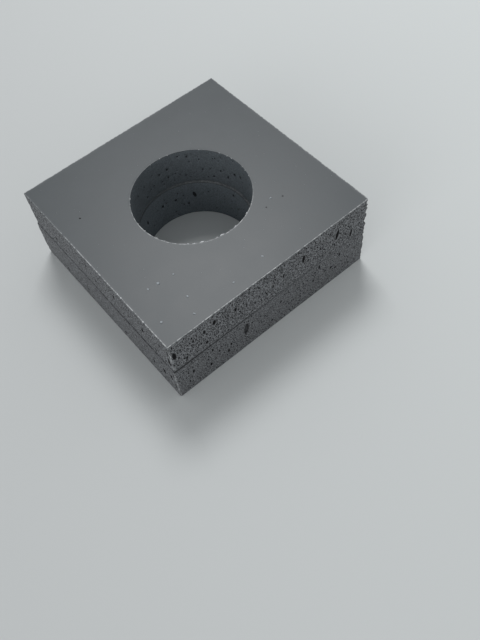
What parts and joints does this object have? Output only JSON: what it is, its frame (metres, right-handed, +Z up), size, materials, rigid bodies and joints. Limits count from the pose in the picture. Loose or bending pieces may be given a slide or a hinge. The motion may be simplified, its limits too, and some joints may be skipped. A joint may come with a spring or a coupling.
{
  "type": "foam block",
  "caption": "Square block of grey closed-cell foam, built up from bonded sheets, with a round bore straight through its thickness.",
  "frame": {"origin": "middle of the block's lower face, at the centre of its outline", "axes": "+Z up through the thickness and along the bore, -Y towards the front cut face, +X to the right"},
  "size_m": [0.0508, 0.05, 0.0196],
  "materials": {
    "foam": "satin closed skin, fine-celled cut faces",
    "bond": "dull"
  },
  "bodies": {
    "root": {"upper_sheet": "foam", "bond_film": "bond", "lower_sheet": "foam"}
  },
  "joints": []
}
